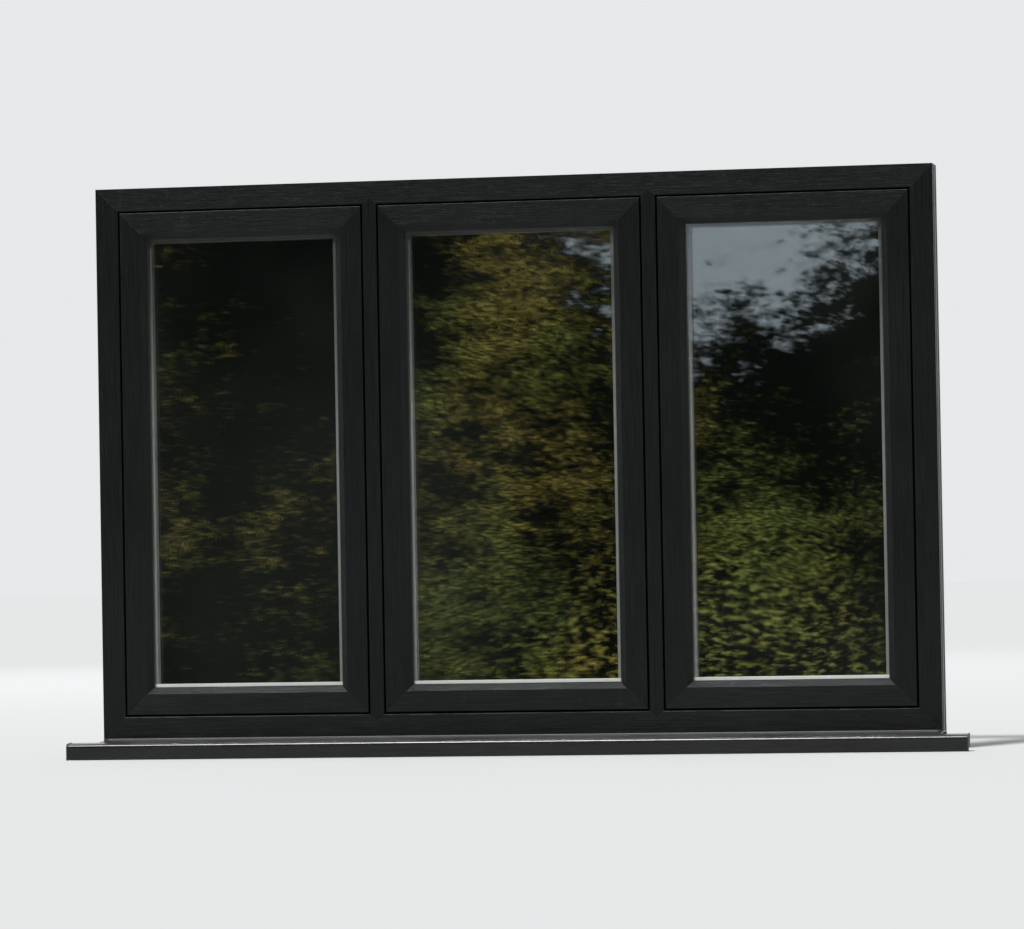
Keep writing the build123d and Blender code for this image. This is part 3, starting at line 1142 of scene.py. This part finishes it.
@dataclass
class OuterFrame:
    """The four welded lengths and two mullions."""

    rails: tuple[str, ...] = ("frame_head", "frame_bottom_rail")
    uprights: tuple[str, ...] = (
        "frame_jamb_left", "frame_jamb_right", "mullion_left", "mullion_right",
    )

    def dress(self, across: Material, upright: Material) -> None:
        """Gives each length foil whose grain runs along it, the standing lengths a darker foil as
        painted shade.

        Args:
            across: Foil for the level lengths.
            upright: Foil for the standing lengths, darker as painted shade.
        """
        for node in self.rails:
            dress(node, across)
        for node in self.uprights:
            dress(node, upright)


@dataclass
class Sash:
    """One light: four mitred lengths, their beads, the glass unit and its seals."""

    light: str

    def dress(self, finishes: dict[str, Material]) -> None:
        """Dresses every node of the light.

        Args:
            finishes: The materials by finish name.
        """
        for side in ("top_rail", "bottom_rail"):
            dress(f"sash_{self.light}_{side}", finishes["foil_across"])
        for side in ("left_stile", "right_stile"):
            dress(f"sash_{self.light}_{side}", finishes["foil_upright"])
        for part, finish in (
            ("glazing_beads", "bead_foil"),
            ("pane_outer", "outer_glass"),
            ("pane_inner", "inner_glass"),
            ("spacer_bar", "spacer_aluminium"),
            ("glazing_gasket", "seal_rubber"),
            ("weather_seal", "seal_rubber"),
        ):
            dress(f"{part}_{self.light}", finishes[finish])


@dataclass
class ReflectionCard:
    """A dark mottled card in front of the window, which only its reflections show."""

    centre: Place = (-1.0, -5.2, 3.0)
    width: float = 15.0
    height: float = 6.02
    dark: Colour = (0.007, 0.01, 0.006)
    green: Colour = (0.7, 0.86, 0.2)
    ochre: Colour = (1.15, 0.95, 0.22)
    bright_centre: Place = (-0.42, -5.2, -0.2)
    bright_green: Colour = (1.1, 1.25, 0.28)
    bright_ochre: Colour = (1.5, 1.25, 0.28)
    pale_centre: Place = (-0.35, -5.2, 1.5)
    pale: Colour = (1.25, 1.45, 1.6)

    def _material(self) -> Material:
        """The card's glow, with a brighter patch low down and a pale one above it.

        Returns:
            The finished material.
        """
        graph = MaterialGraph("card")
        place = graph.node("NewGeometry").outputs["Position"]
        beside = graph.node("VectorMath", {0: place, 1: (0.9, 0.0, 0.0)}, operation="ADD")
        broad = graph.noise(beside.outputs[0], 1.3, 3.0, 0.55)
        layered = graph.mapped((1.0, 1.0, 2.1), place)
        clumps = graph.noise(layered, 5.0, 6.0, 0.72)
        flecks = graph.noise(layered, 26.0, 5.0, 0.8)
        mottle = graph.maths("MULTIPLY_ADD", broad, 1.1, clumps)
        mottle = graph.maths("MULTIPLY_ADD", flecks, 1.1, mottle)
        fine = graph.ramp(graph.noise(layered, 60.0, 3.0, 0.75), 0.42, 0.7, 0.14, 1.5)
        lit = graph.maths("MULTIPLY", graph.ramp(mottle, 1.58, 2.05), fine)
        hue = graph.ramp(graph.noise(place, 1.7, 3.0, 0.6), 0.4, 0.64)
        colour = graph.blend(lit, self.dark, graph.blend(hue, self.green, self.ochre))
        reach = graph.maths("MULTIPLY_ADD", clumps, 0.7, graph.distance(place, self.bright_centre))
        patch = graph.ramp(reach, 1.12, 0.84)
        patch = graph.maths("MULTIPLY", patch, graph.ramp(flecks, 0.49, 0.68))
        colour = graph.blend(patch, colour, graph.blend(hue, self.bright_green, self.bright_ochre))
        reach = graph.maths("MULTIPLY_ADD", clumps, 1.2, graph.distance(place, self.pale_centre))
        reach = graph.maths("MULTIPLY_ADD", flecks, 0.6, reach)
        colour = graph.blend(graph.ramp(reach, 1.38, 1.16), colour, self.pale)
        glow = graph.node("Emission", {"Color": colour, "Strength": 1.0})
        clear = graph.node("BsdfTransparent")
        bounces = graph.node("LightPath").outputs["Glossy Depth"]
        mirrored = graph.maths("GREATER_THAN", bounces, 0.5)
        return graph.show(graph.choose(mirrored, clear.outputs[0], glow.outputs[0]))

    def build(self) -> None:
        """Builds the card."""
        material = self._material()
        upright = (math.pi / 2, 0.0, 0.0)
        bpy.ops.mesh.primitive_plane_add(size=1.0, location=self.centre, rotation=upright)
        card = bpy.context.object
        card.name = "card"
        card.scale = (self.width, self.height, 1.0)
        card.data.materials.append(material)
        for ray in ("camera", "diffuse", "shadow"):
            setattr(card, f"visible_{ray}", False)
        card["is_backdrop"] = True


@dataclass
class UnlitRoom:
    """A dark room behind the window, open to it, which shows only through the glass."""

    low: Place = (-2.6, 0.072, -0.004)
    high: Place = (2.6, 3.2, 2.3)
    dark: Colour = (0.002, 0.0026, 0.0024)
    haze: Colour = (0.011, 0.012, 0.011)
    daylight: Colour = (0.21, 0.2, 0.18)
    daylight_from: float = 0.1
    daylight_to: float = 2.9
    daylight_fall: float = 2.2
    daylight_rise: float = 0.03

    def _material(self) -> Material:
        """The room's dim haze, with daylight on the floor that fades with depth.

        Returns:
            The finished material.
        """
        graph = MaterialGraph("unlit_room")
        place = graph.node("NewGeometry").outputs["Position"]
        haze = graph.ramp(graph.noise(place, 0.9, 3.0), 0.42, 0.66)
        colour = graph.blend(haze, self.dark, self.haze)
        depth, rise = graph.axis_parts(place)[1:]
        near = graph.ramp(depth, self.daylight_to, self.daylight_from)
        low_down = graph.ramp(rise, self.daylight_rise, 0.0)
        daylit = graph.maths("POWER", near, self.daylight_fall)
        colour = graph.blend(graph.maths("MULTIPLY", daylit, low_down), colour, self.daylight)
        return graph.show(graph.node("Emission", {"Color": colour, "Strength": 1.0}).outputs[0])

    def build(self) -> None:
        """Builds the room's walls, ceiling and floor."""
        material = self._material()
        low, high = Vector(self.low), Vector(self.high)
        around = ((low.x, low.z), (high.x, low.z), (high.x, high.z), (low.x, high.z))
        mesh = bmesh.new()
        rings = [[Vector((x, y, z)) for x, z in around] for y in (low.y, high.y)]
        bridge(mesh, rings, Ends.OPEN)
        mesh.faces.new([vert for vert in mesh.verts if vert.co.y == high.y])
        room = put_mesh("unlit_room", mesh, material)
        for ray in ("camera", "diffuse", "glossy", "shadow"):
            setattr(room, f"visible_{ray}", False)
        room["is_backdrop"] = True


def outward(azimuth: float, elevation: float) -> Vector:
    """The direction from the window to a camera or lamp in front of it.

    Args:
        azimuth: Degrees to the right, as seen from outside.
        elevation: Degrees over the horizon.

    Returns:
        A unit vector.
    """
    turn, rise = math.radians(azimuth), math.radians(elevation)
    level = math.cos(rise)
    return Vector((math.sin(turn) * level, -math.cos(turn) * level, math.sin(rise)))


@dataclass
class Studio:
    """Pale floor, soft light and the camera at the photograph's angle."""

    pale: Colour = (0.8, 0.81, 0.82)
    floor_colour: Colour = (0.68, 0.685, 0.69)
    floor_size: float = 120.0
    fill: float = 0.36
    key_strength: float = 3.0
    key_spread: float = 8.0
    key_rise: float = 57.0
    key_turn: float = -20.4
    room_lamp_place: Place = (-3.0, 8.0, 5.2)
    room_lamp_size: float = 5.0
    room_lamp_power: float = 80.0
    azimuth: float = 11.0
    elevation: float = -1.1
    distance: float = 10.5
    roll: float = -1.0
    lens: float = 178.0
    target: Place = (0.0, 0.0, 0.592)

    def build(self) -> None:
        """Builds the world, the floor, the reflection card, the room, the lamps and the camera."""
        self._world()
        self._floor()
        ReflectionCard().build()
        UnlitRoom().build()
        self._key()
        self._room_lamp()
        self._camera()

    def _world(self) -> None:
        """A plain pale surround that lights the window softly."""
        world = bpy.data.worlds.new("studio")
        bpy.context.scene.world = world
        world.use_nodes = True
        world.node_tree.nodes.clear()
        graph = Graph(world.node_tree)
        shown = graph.node("Background", {"Color": self.pale, "Strength": 1.0})
        light = graph.node("Background", {"Color": (1.0, 1.0, 1.0), "Strength": self.fill})
        path = graph.node("LightPath").outputs
        seen = graph.maths("MAXIMUM", path["Is Camera Ray"], path["Is Glossy Ray"])
        seen = graph.maths("MAXIMUM", seen, path["Is Transmission Ray"])
        mixed = graph.choose(seen, light.outputs[0], shown.outputs[0])
        graph.feed(graph.node("OutputWorld").inputs["Surface"], mixed)

    def _floor(self) -> None:
        """A wide pale floor under the lowest point of the window, clear from below."""
        graph = MaterialGraph("studio_floor")
        matt = graph.node("BsdfDiffuse", {"Color": self.floor_colour})
        below = graph.node("BsdfTransparent")
        facing = graph.node("NewGeometry").outputs["Backfacing"]
        material = graph.show(graph.choose(facing, matt.outputs[0], below.outputs[0]))
        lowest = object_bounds()[0].z
        bpy.ops.mesh.primitive_plane_add(size=self.floor_size, location=(0.0, 0.0, lowest))
        floor = bpy.context.object
        floor.name = "floor"
        floor.data.materials.append(material)
        floor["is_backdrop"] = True

    def _key(self) -> None:
        """A broad high light from the front, as even on the floor as on the window."""
        data = bpy.data.lights.new("key", "SUN")
        data.energy = self.key_strength
        data.angle = math.radians(self.key_spread)
        inward = -outward(self.key_turn, self.key_rise)
        put("key", data).rotation_euler = inward.to_track_quat("-Z", "Y").to_euler()

    def _room_lamp(self) -> None:
        """One soft square lamp on the room side, aimed at the middle of the window."""
        data = bpy.data.lights.new("room_side", "AREA")
        data.size = self.room_lamp_size
        data.energy = self.room_lamp_power
        lamp = put("room_side", data)
        lamp.location = self.room_lamp_place
        aim = Vector(self.target) - Vector(self.room_lamp_place)
        lamp.rotation_euler = aim.to_track_quat("-Z", "Y").to_euler()

    def _camera(self) -> None:
        """The camera, turned and rolled as the photograph shows the window."""
        back = outward(self.azimuth, self.elevation)
        data = bpy.data.cameras.new("camera")
        data.lens = self.lens
        data.clip_start, data.clip_end = 0.1, 200.0
        camera = put("camera", data)
        camera.matrix_world = (
            Matrix.Translation(Vector(self.target) + back * self.distance)
            @ (-back).to_track_quat("-Z", "Y").to_matrix().to_4x4()
            @ Matrix.Rotation(math.radians(self.roll), 4, "Z")
        )
        bpy.context.scene.camera = camera


def main() -> None:
    """Builds every sub-assembly in order."""
    logging.basicConfig(level=logging.INFO, format="%(name)s: %(message)s")
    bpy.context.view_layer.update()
    effects = SharedEffects()
    finishes = {finish.name: finish.build(effects) for finish in FINISHES}
    OuterFrame().dress(finishes["foil_across"], finishes["foil_upright"])
    for light in LIGHTS:
        Sash(light).dress(finishes)
        SealLips(light).build(finishes["lip_rubber"])
    dress("sill", finishes["sill_foil"])
    SillJoint().build(finishes["joint_sealant"])
    for side in ("left", "right"):
        dress(f"sill_end_{side}", finishes["sill_end_plastic"])
        EspagHandle(side).build(finishes["handle_metal"], finishes["screw_steel"])
    Studio().build()
    bpy.context.scene.view_settings.view_transform = "Standard"


if __name__ == "__main__":
    main()
